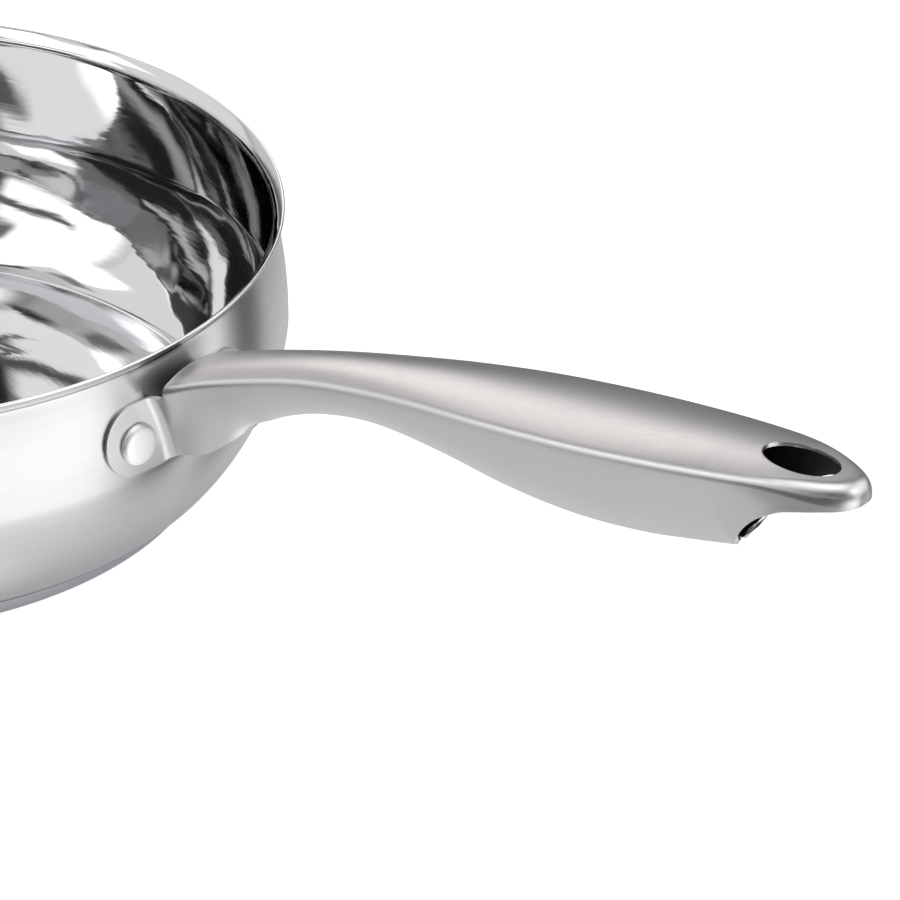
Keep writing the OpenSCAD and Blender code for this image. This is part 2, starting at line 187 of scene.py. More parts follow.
def bare_metal(name, colour):
    """A bare metal material with its tree, its shader and the place on the object. Its roughness
    always comes from a grain."""
    m = bpy.data.materials.new(name)
    m.use_nodes = True
    tree = m.node_tree
    shader = tree.nodes["Principled BSDF"]
    shader.inputs["Base Color"].default_value = (*colour, 1)
    shader.inputs["Metallic"].default_value = 1
    return m, tree, shader, add(tree, "ShaderNodeTexCoord").outputs["Object"]


def maths(tree, operation, *values):
    """One step of arithmetic on numbers and sockets."""
    return add(tree, "ShaderNodeMath", dict(enumerate(values)), operation=operation).outputs[0]


def ramp(tree, value, start, end, low=0.0, high=1.0, **how):
    """The value's way from start to end brought to low and high, and held at them beyond."""
    return add(tree, "ShaderNodeMapRange", {"Value": value, "From Min": start, "From Max": end,
               "To Min": low, "To Max": high}, **how).outputs["Result"]


def spread(tree, grain, low, high):
    """The middle half of a grain brought to between low and high."""
    return ramp(tree, grain, 0.25, 0.75, low, high)


def mixed(tree, factor, first, second):
    """First and second colour mixed; either may be a socket or a colour."""
    n = add(tree, "ShaderNodeMix", data_type="RGBA")
    ends = [k for k in n.inputs if k.type == "RGBA"]
    for end, value in zip(ends, (first, second)):
        if isinstance(value, bpy.types.NodeSocket):
            tree.links.new(value, end)
        else:
            end.default_value = (*value, 1)
    tree.links.new(factor, n.inputs["Factor"])
    return [k for k in n.outputs if k.type == "RGBA"][0]


def along_outline(tree):
    """How far along its outline a place on a turned piece lies, in metres."""
    return add(tree, "ShaderNodeAttribute", attribute_name="along").outputs["Fac"]


def streaks(tree, place, along, round_scale, along_scale, detail=3.0):
    """Noise drawn out round the wheel's axis, as a brush leaves it on a spinning piece."""
    flat = add(tree, "ShaderNodeVectorMath", {0: place, 1: (round_scale, round_scale, 0)},
               operation="MULTIPLY")
    up = add(tree, "ShaderNodeCombineXYZ", {"Z": maths(tree, "MULTIPLY", along, along_scale)})
    spot = add(tree, "ShaderNodeVectorMath", {0: flat.outputs[0], 1: up.outputs[0]},
               operation="ADD")
    return add(tree, "ShaderNodeTexNoise", {"Vector": spot.outputs[0], "Scale": 1.0,
               "Detail": detail, "Roughness": 0.6}).outputs["Fac"]


def roughened(tree, shader, grain, smoothest, roughest):
    """Roughness that wanders with the grain between two values."""
    tree.links.new(spread(tree, grain, smoothest, roughest), shader.inputs["Roughness"])


def scratched(tree, shader, grain, strength, depth):
    """The grain as relief, its depth in metres."""
    bump = add(tree, "ShaderNodeBump",
               {"Height": grain, "Strength": strength, "Distance": depth})
    tree.links.new(bump.outputs["Normal"], shader.inputs["Normal"])


def brushed(tree, shader, strength, turn=0.0, **way):
    """Draws the shine out along the brushing; way says which way that runs, and turn, in whole
    turns, how the shine lies to it."""
    tangent = add(tree, "ShaderNodeTangent", **way)
    tree.links.new(tangent.outputs["Tangent"], shader.inputs["Tangent"])
    shader.inputs["Anisotropic"].default_value = strength
    shader.inputs["Anisotropic Rotation"].default_value = turn


# Painted shadow: a dark colour in the steel where the wall turns under to its foot, just above the
# base cap, standing for the shadow in the seam.
painted_seam_shadow, painted_seam_shadow_from, painted_seam_shadow_to = (0.14, 0.14, 0.15), 0.0045, 0.0065
satin_dim, satin_pale = (0.61, 0.61, 0.617), (0.64, 0.64, 0.647)


def satin_outside(foot):
    """Satin brushed round, with a painted shadow line, dark, where the wall turns under to its
    foot;
    foot is how far along the outline the flat floor ends."""
    m, tree, shader, place = bare_metal("satin_brushed_round", satin_dim)
    along = along_outline(tree)
    fine = streaks(tree, place, along, 26, 9000)
    broad = streaks(tree, place, along, 9, 700, 2)
    tint = mixed(tree, spread(tree, broad, 0, 1), satin_dim, satin_pale)
    # The painted shadow line at the foot, then the satin's own tint.
    clear = ramp(tree, along, foot + painted_seam_shadow_from, foot + painted_seam_shadow_to)
    tree.links.new(mixed(tree, clear, painted_seam_shadow, tint), shader.inputs["Base Color"])
    roughened(tree, shader, fine, 0.28, 0.34)
    scratched(tree, shader, fine, 0.16, 0.00002)
    brushed(tree, shader, 0.75, 0.25, direction_type="RADIAL", axis="Z")
    return m


# The brightest of these colours is a painted highlight on the polished lip, brighter than steel;
# the darkest is a painted shadow line where the lip begins.
mirror_steel, painted_lip_highlight, painted_lip_shadow = (0.65, 0.65, 0.66), (0.95, 0.95, 0.95), (0.40, 0.40, 0.41)
lip_shadow_from, lip_shadow_to, lip_end_from, lip_end_to = 0.0003, 0.0008, 0.0054, 0.0060
lip_haze, ripple_share, swirl_depth = 0.2, 0.03, 0.0011


def mirror_inside(start):
    """Mirror polish from start along the outline: first a painted shadow line where the lip begins,
    then a hazier polished lip painted brighter than steel, a painted highlight, then the mirror of
    the inside."""
    m, tree, shader, place = bare_metal("mirror_polished", mirror_steel)
    along = along_outline(tree)
    # A painted shadow line where the lip begins, then the lip's painted highlight, then the mirror.
    past_lip_shadow = ramp(tree, along, start + lip_shadow_from, start + lip_shadow_to)
    inward = ramp(tree, along, start + lip_end_from, start + lip_end_to)
    lip = mixed(tree, past_lip_shadow, painted_lip_shadow, painted_lip_highlight)
    tree.links.new(mixed(tree, inward, lip, mirror_steel), shader.inputs["Base Color"])
    ripples = streaks(tree, place, along, 60, 260, 2)
    swirls = streaks(tree, place, along, 24, 20, 1.5)
    drawn = maths(tree, "MULTIPLY_ADD", ripples, ripple_share, swirls)
    scratched(tree, shader, drawn, 1.0, swirl_depth)
    haze = spread(tree, streaks(tree, place, along, 20, 2500, 3), 0.03, 0.07)
    soft_lip = maths(tree, "MULTIPLY_ADD", inward, -lip_haze, lip_haze)
    tree.links.new(maths(tree, "ADD", haze, soft_lip), shader.inputs["Roughness"])
    return m


outline, lip_start = body_outline()
lip_along = sum(math.dist(outline[i], outline[i + 1]) for i in range(lip_start)) * MM
pan_body = turn_piece("pan_body_drawn", outline, satin_outside(floor_r * MM),
                      mirror_inside(lip_along), lip_along, 360)
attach(pan_body, "root")
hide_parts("pan_body")

# Heat core. A thick aluminium disc under the floor, brazed to it and sealed in by the cap, so that
# only a hair of its side shows in the seam. Its side is left as the press cut it.
base_inset, cap_sheet, core_clearance = 2.0, 0.6, 0.1
base_r = floor_r - base_inset
core_r = base_r - cap_sheet - core_clearance
core_chamfer, core_border = 0.15, 1


def speckle(tree, place, scale, detail=3.0):
    """Fine noise that runs no way in particular."""
    return add(tree, "ShaderNodeTexNoise",
               {"Vector": place, "Scale": scale, "Detail": detail}).outputs["Fac"]


def pressed_aluminium():
    """Dull aluminium with the grain of the press."""
    m, tree, shader, place = bare_metal("pressed_aluminium", (0.55, 0.55, 0.57))
    grain = speckle(tree, place, 900.0)
    roughened(tree, shader, grain, 0.4, 0.55)
    scratched(tree, shader, grain, 0.3, 0.00005)
    return m


heat_core = turn_piece("heat_core_disc", [
    (0, cap_sheet), (core_r - core_border, cap_sheet), (core_r - core_chamfer, cap_sheet),
    (core_r, cap_sheet + core_chamfer), (core_r, base_h - core_chamfer),
    (core_r - core_chamfer, base_h), (core_r - core_border, base_h), (0, base_h)],
    pressed_aluminium(), steps_round=240)
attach(heat_core, "root")
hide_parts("heat_core")

# Base cap. A shallow stainless cup pressed over the core and brazed to the body. Its side is
# turned satin with a fine chamfer at its top edge, and its underside shows fine turning rings.
cap_seam, cap_round, cap_edge = 0.2, 1.6, 0.12
cap_border, cap_side_step, cap_steps, cap_inner_steps = 2, 0.5, 12, 8


def turned_cap():
    """Satin that a turning tool leaves, in rings."""
    m, tree, shader, place = bare_metal("turned_cap", (0.56, 0.565, 0.60))
    fine = streaks(tree, place, along_outline(tree), 20, 7000)
    roughened(tree, shader, fine, 0.26, 0.4)
    scratched(tree, shader, fine, 0.35, 0.00003)
    brushed(tree, shader, 0.6, 0.25, direction_type="RADIAL", axis="Z")
    return m


def cap_outline():
    """The cap's section from the middle of its underside round its side and back inside."""
    top, flat_r, inner_round = base_h - cap_seam, base_r - cap_round, cap_round - cap_sheet
    outer = [(0, 0), (flat_r - cap_border, 0)]
    outer += [(base_r - cap_round * (1 - math.sin(a)), cap_round * (1 - math.cos(a)))
              for a in np.radians(np.linspace(0, 90, cap_steps + 1))]
    outer += [(base_r, top - cap_edge - cap_side_step), (base_r, top - cap_edge),
              (base_r - cap_edge, top)]
    inner = [(base_r - cap_sheet, top), (base_r - cap_sheet, cap_round + cap_side_step)]
    inner += [(flat_r + inner_round * math.sin(a), cap_round - inner_round * math.cos(a))
              for a in np.radians(np.linspace(90, 0, cap_inner_steps + 1))]
    return outer + inner + [(flat_r - cap_border, cap_sheet), (0, cap_sheet)]


base_cap = turn_piece("base_cap_turned", cap_outline(), turned_cap())
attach(base_cap, "root")
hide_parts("base_cap")

# Handle. One sheet of stainless, 1 mm thick, stamped and folded into a long hollow grip: a crowned
# top with soft ridges, two side walls that close underneath along a seam with curled edges, a mouth
# below the hang hole, and two ears bent out at the front that follow the wall. Fine satin finish.
handle_len, front_gap, front_drop = 207.6, 6.5, 8.2
handle_rise = 39.797  # 3 micrometres under the CAD's, so that this finer crown stays inside its box
grip_r, grip_depth, crown_h, ridge_round, nose_round = 17.9, 25.7, 2.8, 2.2, 5.0
handle_sheet, seam_gap, curl_round, curl_turn, curl_lean = 1.0, 1.2, 1.6, 110, 45
hole_len, hole_w, hole_to_tip = 21.3, 12.9, 8.0
ear_h, ear_lift, ear_gap, bend_r, rivet_spacing, rivet_drop = 20.0, 1.1, 0.15, 3.0, 36.8, 23.1
sheet_edge_round, sheet_edge_steps, sheet_edge_angle = 0.22, 3, 50
front_r = neck_r + front_gap
tip_x = front_r + handle_len
hole_x = tip_x - hole_to_tip - hole_len / 2
curl_reach = curl_round * (math.sin(math.radians(curl_turn - curl_lean))
                           + math.sin(math.radians(curl_lean)))
ear_reach = ear_gap + handle_sheet
rivet_z = pan_h - rivet_drop
ear_z = rivet_z + ear_lift
rivet_r = wall_r(rivet_z)
rivet_angle = math.asin(rivet_spacing / 2 / rivet_r)
rivet_tilt = math.atan((wall_r(rivet_z - body_sheet) - wall_r(rivet_z + body_sheet))
                       / (2 * body_sheet))

# Places along the grip are shares of its length, from the pan to the tip, and so are the first
# numbers in the tables below. The second ones are shares of the handle's sizes above, but for
# bow_shares, which gives the power of a side wall's curve.
taper_share, knee_share, pole_share, nose_share, mouth_share = 0.59, 0.82, 0.936, 0.86, 0.832
curl_start_share, curl_full_share, curl_end_share = 0.075, 0.13, 0.844
tip_power, soft_start = 0.38, 0.06
rise_shares = [(0, 0), (0.05, 0.112), (0.125, 0.256), (0.2, 0.381), (0.28, 0.486), (0.39, 0.603),
               (0.51, 0.7), (0.66, 0.805), (0.81, 0.907), (0.92, 0.975), (1, 1)]
width_shares = [(0, 0.72), (0.05, 0.637), (0.1, 0.607), (0.2, 0.585), (0.3, 0.67), (0.4, 0.8),
                (0.5, 0.93), (0.6, 0.985), (0.7, 1), (1, 1)]
depth_shares = [(0, 0.674), (0.02, 0.698), (0.045, 0.718), (0.07, 0.645), (0.1, 0.557),
                (0.13, 0.518), (0.16, 0.461), (0.22, 0.417), (0.3, 0.458), (0.4, 0.648),
                (0.5, 0.862), (0.6, 0.986), (0.7, 1.003), (0.78, 0.948), (0.82, 0.911), (1, 0.75)]
opening_shares = [(0, 0.45), (0.03, 0.42), (0.06, 0.34), (0.09, 0.24), (0.115, 0.175), (0.2, 0),
                  (1, 0)]
bow_shares = [(0, 0.75), (0.03, 0.8), (0.07, 1.1), (0.12, 1.7), (0.68, 1.8), (0.8, 1.55),
              (0.86, 1.92), (0.93, 3.4), (1, 3.4)]
mouth_shares = [(mouth_share, 1), (0.838, 0.902), (0.846, 0.717), (0.856, 0.601), (0.872, 0.438),
                (0.892, 0.254), (0.917, 0.11), (0.93, 0.076), (0.96, 0.03), (1, 0.012)]
crown_shares = [(0, 1), (0.8, 1), (0.86, 0.87), (0.9, 0.7), (0.95, 0.3), (1, 0.03)]
edge_shares = [(0, 1), (0.9, 1), (0.95, 0.65), (0.975, 0.35), (1, 0.15)]

# Rows of faces run from the middle of the crown down to the curled edge, and columns along the
# grip, closer together at the mouth and fanned round the nose.
crown_rows, ridge_rows, curl_rows, ear_top_row = 12, 9, 8, 3
wall_rows = [0, 0.03, 0.065] + list(np.linspace(0.1, 1, 20))
wall_top_row = crown_rows + ridge_rows
first_ear_row = wall_top_row + ear_top_row
last_row = wall_top_row + len(wall_rows) - 1 + curl_rows
ear_rows = np.linspace(1, -1, last_row - first_ear_row + 1)
fan_columns, bend_columns = 40, 12
grip_columns = ([0, 0.004] + list(np.linspace(0.01, 0.81, 81))
                + [knee_share, 0.827, mouth_share, 0.8345, 0.8375]
                + [knee_share + (1 - knee_share) * math.sin(math.radians(90 * i / fan_columns))
                   for i in range(3, fan_columns + 1)])
ear_turns = [89.5, 86, 80, 73, 66, 58, 50, 42, 34, 25, 17, 9, 0]
hole_reach_x, hole_reach_y, hole_rings, ring_pull = 17.5, 13.5, 12, 1.25


def smooth(table, u):
    """Smooth value at place u of a table of (place, value) rows."""
    if u <= table[0][0]:
        return table[0][1]
    i = 0
    while i < len(table) - 2 and u > table[i + 1][0]:
        i += 1

    def rise(k):
        a, b = table[max(k - 1, 0)], table[min(k + 1, len(table) - 1)]
        return (b[1] - a[1]) / (b[0] - a[0])
    (x0, y0), (x1, y1) = table[i], table[i + 1]
    h = x1 - x0
    s = (u - x0) / h
    return (y0 * (2 * s ** 3 - 3 * s ** 2 + 1) + y1 * (3 * s ** 2 - 2 * s ** 3)
            + h * (rise(i) * (s ** 3 - 2 * s ** 2 + s) + rise(i + 1) * (s ** 3 - s ** 2)))


def ease(a, b, u):
    """0 up to a, 1 from b on, and a soft way between them."""
    s = min(max((u - a) / (b - a), 0), 1)
    return s * s * (3 - 2 * s)


def half_width(u):
    """Half the grip's width over its ridges at place u."""
    w = max(u - taper_share, 0) / (1 - taper_share)
    return grip_r * smooth(width_shares, u) * max(1 - w * w, 0) ** tip_power


def ridge_z(u):
    """Height of the ridge at place u."""
    return pan_h - front_drop + handle_rise * smooth(rise_shares, u)


def ridge_x(u):
    """How far out from the pan's axis the ridge is at place u."""
    return front_r + u * handle_len


def middle_x(u):
    """Where the column of place u starts on the middle line: beyond the knee it falls behind the
    ridge, so that the columns fan round the nose."""
    if u <= knee_share:
        return ridge_x(u)
    s = (u - knee_share) / (1 - knee_share)
    lag = (1 - knee_share) / (pole_share - knee_share) - 1
    return ridge_x(knee_share + (pole_share - knee_share) * s * (1 + lag * (1 - s)))


def reach_of(u):
    """Length in plan of the column of place u, from the middle line to the ridge."""
    return math.hypot(ridge_x(u) - middle_x(u), half_width(u))


def section(u):
    """One column of the skin: (distance from its middle, height above the ridge), from the crown
    over the ridge and down the side wall to the curled edge."""
    reach, crown = reach_of(u), crown_h * smooth(crown_shares, u)
    r = ridge_round + (nose_round - ridge_round) * ease(nose_share, 1, u)
    flat = reach - r
    drop = math.atan(2 * crown * flat / reach ** 2)
    last = flat + r * math.sin(drop)
    last_z = crown * (1 - (last / reach) ** 2)
    low_z = last_z - r * math.cos(drop)
    depth = grip_depth * smooth(depth_shares, u)
    left = 1 if u <= mouth_share else smooth(mouth_shares, u)
    opening = min(max(grip_r * smooth(opening_shares, u), seam_gap / 2 + curl_reach), flat)
    bow = smooth(bow_shares, u)
    full = (1 + soft_start) ** bow - soft_start ** bow
    lean = math.atan((reach - opening) / depth * bow * soft_start ** (bow - 1) / full)
    start_d, start_z = flat + r * math.cos(lean), low_z - r * math.sin(lean)
    points = []
    for k in range(crown_rows + 1):
        d = last * k / crown_rows
        points.append((d, crown * (1 - (d / reach) ** 2)))
    for k in range(1, ridge_rows + 1):
        a = math.pi / 2 - drop - (math.pi / 2 - drop + lean) * k / ridge_rows
        points.append((flat + r * math.cos(a), low_z + r * math.sin(a)))
    for share in wall_rows[1:]:
        t = left * share
        inward = ((t + soft_start) ** bow - soft_start ** bow) / full
        points.append((start_d - (start_d - opening) * inward,
                       start_z - (start_z - low_z + depth) * t))
    turn = math.radians(curl_turn) * ease(curl_start_share, curl_full_share, u) * (
        1 - ease(mouth_share, curl_end_share, u))
    run = curl_round * math.radians(curl_turn) * smooth(edge_shares, u) / curl_rows
    way = np.array(points[-1]) - np.array(points[-2])
    heading = math.atan2(way[1], way[0])
    for k in range(1, curl_rows + 1):
        a = heading - turn * (k - 0.5) / curl_rows
        points.append((points[-1][0] + run * math.cos(a), points[-1][1] + run * math.sin(a)))
    return points


def grip_column(u):
    """The section of place u set where it belongs on the handle's near half."""
    x0, w = middle_x(u), half_width(u)
    reach = math.hypot(ridge_x(u) - x0, w)
    forward, across = (ridge_x(u) - x0) / reach, w / reach
    return [(x0 + forward * d, across * d, ridge_z(u) + z) for d, z in section(u)]


def ear_column(angle, half_h):
    """One column of the ear, which follows the wall, at an angle round the pan."""
    column = []
    for s in ear_rows:
        z = ear_z + half_h * s
        r = wall_r(z) + ear_reach
        column.append((r * math.cos(angle), r * math.sin(angle), z))
    return column


def bend_column(share, front):
    """One column of the bend, a share of the way from the side wall to the ear."""
    column = []
    for s, (_, y, z_front) in zip(ear_rows, front[first_ear_row:]):
        z = z_front * (1 - share) + (ear_z + ear_h / 2 * s) * share
        r, yc = wall_r(z) + ear_reach + bend_r, y + bend_r
        a = -math.pi / 2 - (math.pi / 2 - math.asin(yc / r)) * share
        column.append((math.sqrt(r * r - yc * yc) + bend_r * math.cos(a),
                       yc + bend_r * math.sin(a), z))
    return column


def front_column():
    """The grip's first column, set back at the height of the ears to where their bend begins."""
    column = grip_column(0)
    for k in range(wall_top_row, last_row + 1):
        x, y, z = column[k]
        r, yc = wall_r(z) + ear_reach + bend_r, y + bend_r
        share = min((k - wall_top_row) / ear_top_row, 1) ** 2
        column[k] = (x + share * (math.sqrt(r * r - yc * yc) - x), y, z)
    return column


def crown_height(x, y):
    """Height of the crowned top at a place in plan beyond the knee, found by halving."""
    low, high = knee_share, 1.0
    for _ in range(40):
        u = (low + high) / 2
        ahead = (x - middle_x(u)) * half_width(u) - abs(y) * (ridge_x(u) - middle_x(u)) > 0
        low, high = (u, high) if ahead else (low, u)
    d = math.hypot(x - middle_x(high), y)
    bulge = 1 - (d / reach_of(high)) ** 2
    return ridge_z(high) + crown_h * smooth(crown_shares, high) * bulge


def folded_sheet():
    """The outer face of one half of the sheet: its points, its faces, and for each face its place
    in the flat blank. Beyond the knee, rings of faces run in over the crown to the hang hole."""
    front = front_column()
    skin = []
    for ear_turn in ear_turns:
        out, half_h = (ear_h / 2 * f(math.radians(ear_turn)) for f in (math.sin, math.cos))
        skin.append([None] * first_ear_row
                    + ear_column(rivet_angle + math.asin(out / rivet_r), half_h))
    skin += [[None] * first_ear_row + bend_column(i / bend_columns, front)
             for i in range(bend_columns, 0, -1)]
    knee = len(skin) + grip_columns.index(knee_share)
    skin += [front] + [grip_column(u) for u in grip_columns[1:]]
    last = len(skin) - 1
    travel = np.cumsum([0] + [math.dist(skin[i - 1][first_ear_row], skin[i][first_ear_row])
                              for i in range(1, last + 1)])
    down = np.cumsum([0] + [math.dist(skin[knee][j - 1], skin[knee][j])
                            for j in range(1, last_row + 1)])
    points, number, faces, blank = [], {}, [], []
    for i, column in enumerate(skin):
        for j, point in enumerate(column):
            if point is not None and not (i > knee and j < crown_rows):
                number[i, j] = len(points)
                points.append(point)
    for i in range(last):
        for j in range(last_row):
            corners = [(i, j), (i + 1, j), (i + 1, j + 1), (i, j + 1)]
            if all(c in number for c in corners) and not (i >= knee and j < crown_rows):
                faces.append([number[c] for c in corners])
                blank.append([(travel[a], down[b]) for a, b in corners])
    outermost = [number[knee, j] for j in range(crown_rows + 1)] + [
        number[i, crown_rows] for i in range(knee + 1, last + 1)]
    ring = outermost
    for m in range(1, hole_rings + 1):
        share = (1 - m / hole_rings) ** ring_pull
        inner = []
        for k in outermost:
            x, y, _ = points[k]
            turn = math.atan2(y / hole_reach_y, (x - hole_x) / hole_reach_x)
            edge_x = hole_x + hole_len / 2 * math.cos(turn)
            edge_y = hole_w / 2 * math.sin(turn)
            px, py = edge_x + (x - edge_x) * share, edge_y + (y - edge_y) * share
            inner.append(len(points))
            points.append((px, py, crown_height(px, py)))
        for k in range(len(outermost) - 1):
            quad = [ring[k], ring[k + 1], inner[k + 1], inner[k]]
            faces.append(quad)
            blank.append([(travel[knee] + points[q][0] - ridge_x(knee_share), points[q][1])
                          for q in quad])
        ring = inner
    return points, faces, blank


def handle_mesh():
    """Both halves of the folded sheet as one skin, with its flat blank as the grain's map."""
    points, faces, blank = folded_sheet()
    sheet = bmesh.new()
    grain = sheet.loops.layers.uv.new("grain")
    for side in (1, -1):
        corners = [sheet.verts.new((x * MM, side * y * MM, z * MM)) for x, y, z in points]
        for face, places in zip(faces, blank):
            made = sheet.faces.new([corners[k] for k in face])
            made.smooth = True
            for loop, (a, b) in zip(made.loops, places):
                loop[grain].uv = (a * MM, side * b * MM)
    bmesh.ops.remove_doubles(sheet, verts=sheet.verts, dist=weld)
    bmesh.ops.recalc_face_normals(sheet, faces=sheet.faces)
    top = max(sheet.faces, key=lambda f: f.calc_center_median().z)
    if top.normal.z < 0:
        bmesh.ops.reverse_faces(sheet, faces=sheet.faces)
    mesh = bpy.data.meshes.new("handle_sheet")
    sheet.to_mesh(mesh)
    sheet.free()
    return mesh


def satin_handle():
    """Fine satin, rubbed along the handle."""
    m, tree, shader, place = bare_metal("satin_handle", (0.60, 0.595, 0.60))
    drawn = add(tree, "ShaderNodeVectorMath", {0: place, 1: (70, 2600, 2600)},
                operation="MULTIPLY")
    fine = add(tree, "ShaderNodeTexNoise", {"Vector": drawn.outputs[0], "Scale": 1.0,
               "Detail": 3.0, "Roughness": 0.6}).outputs["Fac"]
    roughened(tree, shader, fine, 0.30, 0.40)
    scratched(tree, shader, fine, 0.2, 0.00002)
    brushed(tree, shader, 0.5, direction_type="UV_MAP", uv_map="grain")
    return m


def inside_painted_shade():
    """The sheet's hidden side, dull as the press left it and painted dark, a painted shade inside
    the hollow grip.
    """
    m, tree, shader, place = bare_metal("pressed_side_painted_shade", (0.10, 0.10, 0.105))
    roughened(tree, shader, speckle(tree, place, 700.0), 0.5, 0.65)
    return m


handle = put("handle_folded", handle_mesh())
handle.data.materials.append(satin_handle())
# The sheet's inner side takes the painted shade of the hollow grip.
handle.data.materials.append(inside_painted_shade())
thick = handle.modifiers.new("sheet", "SOLIDIFY")
thick.thickness, thick.offset, thick.use_even_offset = handle_sheet * MM, -1, True
thick.material_offset = 1
softened = handle.modifiers.new("softened_edges", "BEVEL")
softened.width, softened.segments = sheet_edge_round * MM, sheet_edge_steps
softened.limit_method, softened.angle_limit = "ANGLE", math.radians(sheet_edge_angle)
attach(handle, "root")
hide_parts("handle")

# Rivets. Two solid stainless rivets through the ears and the pan's wall, each with a wide low
# head outside and a domed head inside. Both are one turned shape, leaned to the wall's slope
# and set round to its place. The heads are bead-blasted and matt, and their colour is brighter
# than steel, a painted highlight that makes them white in the light.
shank_d, head_d, head_h, inner_head_d, inner_head_h = 5.0, 11.3, 2.1, 11.0, 1.7
head_seat, inner_head_seat = 0.02, 0.2
inner_shares = [(0, 1), (0.12, 0.997), (0.28, 0.985), (0.4, 0.96), (0.55, 0.92), (0.68, 0.85),
                (0.8, 0.76), (0.88, 0.65), (0.94, 0.52), (0.98, 0.39), (1, 0.25), (1, 0.05),
                (0.99, 0)]
head_shares = [(0.985, 0), (1, 0.06), (1, 0.36), (0.985, 0.45), (0.96, 0.55), (0.92, 0.66),
               (0.87, 0.76), (0.81, 0.835), (0.74, 0.9), (0.6, 0.94), (0.45, 0.97),
               (0.25, 0.995), (0, 1)]


def blasted_with_painted_highlight():
    """Bead-blasted steel, with no way to its grain, coloured brighter than steel as a painted
    highlight.
    """
    m, tree, shader, place = bare_metal("rivet_painted_highlight", (0.95, 0.95, 0.955))
    grain = speckle(tree, place, 2500.0, 4.0)
    roughened(tree, shader, grain, 0.46, 0.58)
    scratched(tree, shader, grain, 0.3, 0.00003)
    return m


def rivet_outline():
    """The rivet's section from the middle of its inner head to the middle of its outer one."""
    top, low = ear_reach + head_seat, -body_sheet - inner_head_seat
    return ([(p * inner_head_d / 2, low - q * inner_head_h) for p, q in inner_shares]
            + [(shank_d / 2, low), (shank_d / 2, top)]
            + [(p * head_d / 2, top + q * head_h) for p, q in head_shares])


rivet_steel = blasted_with_painted_highlight()
for side, node in ((-1, "rivet_right"), (1, "rivet_left")):
    rivet = turn_piece(node + "_headed", rivet_outline(), rivet_steel, steps_round=72,
                       lean=math.pi / 2 - rivet_tilt, reach=rivet_r * MM, height=rivet_z * MM,
                       bearing=side * rivet_angle)
    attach(rivet, "root")
    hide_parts(node)

# Floor, light and camera. The pan stands on a lit white table. Its steel sees a room of pale and
# dark panels, set round it by direction. The floor is left out of reflections: below the horizon
# the steel sees the room's lower panels and the shaded part of the table round the pan's foot.
floor_half, shade_r, shade_from, shade_to, shade_lift = 6, 0.15, 0.100, 0.130, 0.00005
floor_mesh = bpy.data.meshes.new("floor")
floor_mesh.from_pydata([(floor_half * x, floor_half * y, 0)
                        for x, y in ((-1, -1), (1, -1), (1, 1), (-1, 1))], [], [(0, 1, 2, 3)])
white = bpy.data.materials.new("lit_white_table")
white.use_nodes = True
board = white.node_tree.nodes["Principled BSDF"].inputs
board["Roughness"].default_value = 0.9
board["Base Color"].default_value = (0.32, 0.32, 0.32, 1)
board["Emission Color"].default_value = (1, 1, 1, 1)
board["Emission Strength"].default_value = 0.9
floor_mesh.materials.append(white)
floor = put("floor", floor_mesh)
floor.visible_glossy = False

shade_mesh = bpy.data.meshes.new("shaded_table")
shade_ring = [(shade_r * math.cos(a), shade_r * math.sin(a), shade_lift)
              for a in np.radians(np.arange(0, 360, 5))]
shade_mesh.from_pydata(shade_ring, [], [tuple(range(len(shade_ring)))])
shaded = bpy.data.materials.new("shaded_table")
shaded.use_nodes = True
tree = shaded.node_tree
spot = add(tree, "ShaderNodeTexCoord").outputs["Object"]
off_axis = add(tree, "ShaderNodeVectorMath", {0: spot}, operation="LENGTH").outputs["Value"]
clear = ramp(tree, off_axis, shade_from, shade_to, interpolation_type="SMOOTHSTEP")
dim = add(tree, "ShaderNodeEmission", {"Color": (0.50, 0.50, 0.51, 1)}).outputs["Emission"]
through = add(tree, "ShaderNodeBsdfTransparent").outputs["BSDF"]
blend = add(tree, "ShaderNodeMixShader", {0: clear, 1: dim, 2: through}).outputs["Shader"]
tree.links.new(blend, tree.nodes["Material Output"].inputs["Surface"])
shade_mesh.materials.append(shaded)
shade = put("shaded_table", shade_mesh)
shade.visible_camera = shade.visible_diffuse = shade.visible_shadow = False

world = bpy.data.worlds.new("studio")
bpy.context.scene.world = world
world.use_nodes = True
room = world.node_tree
toward = add(room, "ShaderNodeSeparateXYZ",
             {0: add(room, "ShaderNodeTexCoord").outputs["Generated"]}).outputs
azimuth = maths(room, "ARCTAN2", toward["Y"], toward["X"])
elevation = maths(room, "ARCSINE", toward["Z"])


def span(angle, low, high, soft):
    """1 where the angle lies between low and high, in degrees, falling off softly outside."""
    middle, half = math.radians((low + high) / 2), (high - low) / 2
    off = maths(room, "WRAP", maths(room, "SUBTRACT", angle, middle), math.pi, -math.pi)
    return ramp(room, maths(room, "ABSOLUTE", off), math.radians(half + soft),
                math.radians(half - soft), interpolation_type="SMOOTHSTEP")


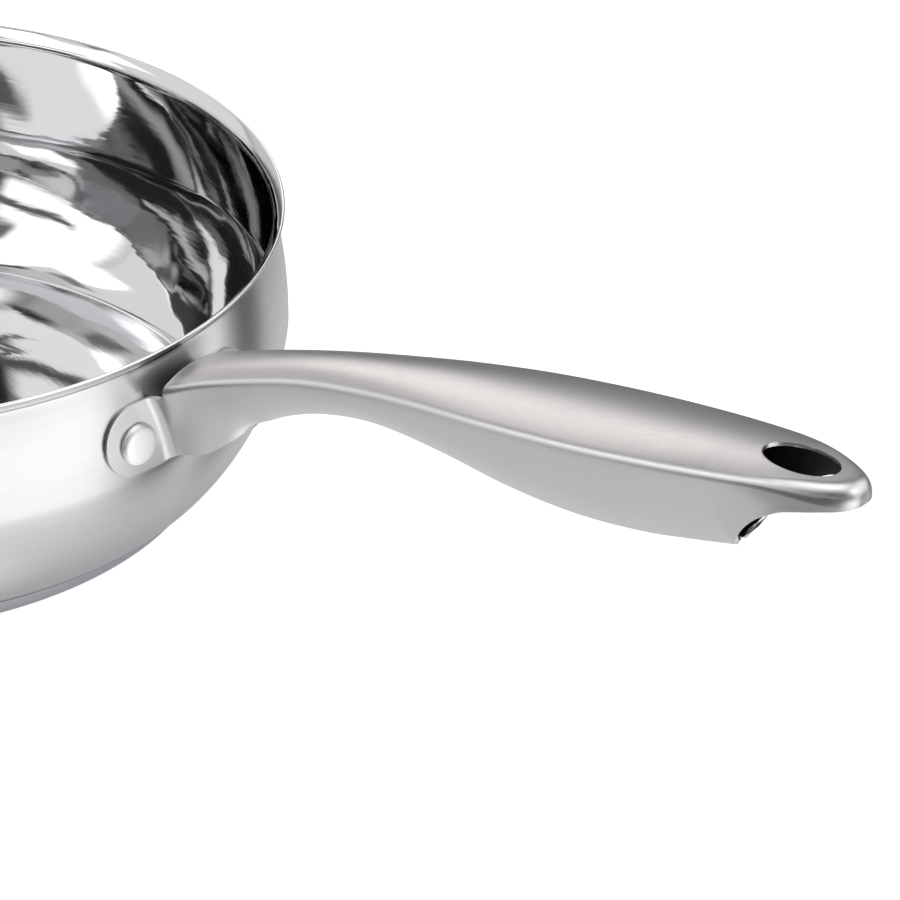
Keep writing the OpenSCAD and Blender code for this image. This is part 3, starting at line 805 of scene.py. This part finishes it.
# Each panel: azimuths and elevations it spans and how soft its edges are each way, in degrees,
# its level and its tint. A later panel covers those before it, from below the horizon up.
panels = (
    ((-180, 180), (-95, -9), (3, 3), 0.82, (0.99, 0.98, 1)),
    ((-70, 130), (-95, -70), (12, 4), 1.65, (1, 1, 1)),
    ((-30, 22), (-37, 8), (4, 18), 1.9, (1, 1, 1)),
    ((32, 50), (-42, 9), (3, 3), 0.02, (1, 1, 1)),
    ((54, 62), (-40, 9), (3, 3), 1.7, (1, 1, 1)),
    ((65, 84), (-44, 9), (3, 3), 0.03, (1, 1, 1)),
    ((87, 176), (-18, 12), (4, 3), 0.17, (1, 1, 1.04)),
    ((-96, -34), (-48, -33), (5, 3), 1.05, (1, 1, 1)),
    ((-108, -42), (-33, 10), (5, 3), 0.1, (1, 1, 1.05)),
    ((-182, -112), (-20, 13), (4, 3), 0.82, (1, 1, 1)),
    ((-84, -24), (9, 54), (3, 3), 0.03, (1, 1, 1)),
    ((-84, -32), (23, 28), (3, 2), 0.95, (1, 0.99, 0.98)),
    ((-46, -18), (12, 15), (3, 2), 0.5, (1, 0.99, 0.98)),
    ((-24, 8), (9, 54), (3, 3), 0.3, (1, 1, 1)),
    ((8, 34), (2, 64), (3, 3), 1.4, (1, 1, 1)),
    ((30, 80), (9, 64), (3, 3), 1.4, (1, 1, 1)),
    ((4, 38), (28, 54), (5, 5), 2.6, (1, 1, 1)),
    ((-132, -90), (13, 68), (3, 3), 1.65, (1, 1, 1)),
    ((-98, -86), (32, 44), (2, 3), 0.2, (1, 1, 1)),
    ((-118, -82), (21.5, 25), (3, 1), 0.15, (1, 1, 1.05)),
    ((-182, -132), (10, 60), (3, 3), 1.0, (1, 1, 1)),
    ((-147, -130), (35, 49), (3, 3), 3.2, (1, 1, 1)),
    ((100, 130), (10, 44), (4, 4), 0.45, (1, 1, 1.02)),
    ((130, 153), (15, 42), (5, 4), 2.0, (1, 0.96, 0.935)),
    ((153, 178), (8, 42), (4, 4), 0.8, (1, 0.97, 0.95)),
    ((-160, -140), (51, 57), (3, 2), 0.3, (1, 1, 1)),
    ((-88, 180), (56, 68), (3, 3), 0.75, (1, 1, 1)),
    ((-180, -140), (58, 68), (3, 3), 0.75, (1, 1, 1)),
    ((-180, 180), (70, 110), (3, 3), 2.2, (1, 1, 1)))
glow = (0.04, 0.04, 0.045)
for sides, heights, soft, level, tone in panels:
    both = maths(room, "MULTIPLY", span(azimuth, *sides, soft[0]),
                 span(elevation, *heights, soft[1]))
    glow = mixed(room, both, glow, tuple(level * t for t in tone))
rays = add(room, "ShaderNodeLightPath").outputs
shown = mixed(room, rays["Is Glossy Ray"], (0.85, 0.85, 0.85), glow)
shine = room.nodes["Background"].inputs
shine["Strength"].default_value = 1.0
room.links.new(mixed(room, rays["Is Camera Ray"], shown, (1, 1, 1)), shine["Color"])

softbox_data = bpy.data.lights.new("high_softbox", "AREA")
softbox_data.energy, softbox_data.size = 12, 1.6
softbox = put("high_softbox", softbox_data)
softbox.location = (0.3, -0.5, 2.2)
aim = Vector((0.05, 0, 0)) - softbox.location
softbox.rotation_euler = aim.to_track_quat("-Z", "Y").to_euler()
softbox.visible_glossy = False

# The camera was fitted to the rim, the wall and the handle in the photograph.
camera_data = bpy.data.cameras.new("camera")
camera_data.sensor_width, camera_data.lens, camera_data.clip_end = 36, 236.32, 20
camera = put("camera", camera_data)
camera.matrix_world = Matrix((
    (0.79386, -0.30401, 0.52672, 0.988), (0.60813, 0.38794, -0.69262, -1.0268),
    (0.00623, 0.87010, 0.49281, 0.8037), (0, 0, 0, 1)))
bpy.context.scene.camera = camera
bpy.context.scene.view_settings.view_transform = "Standard"
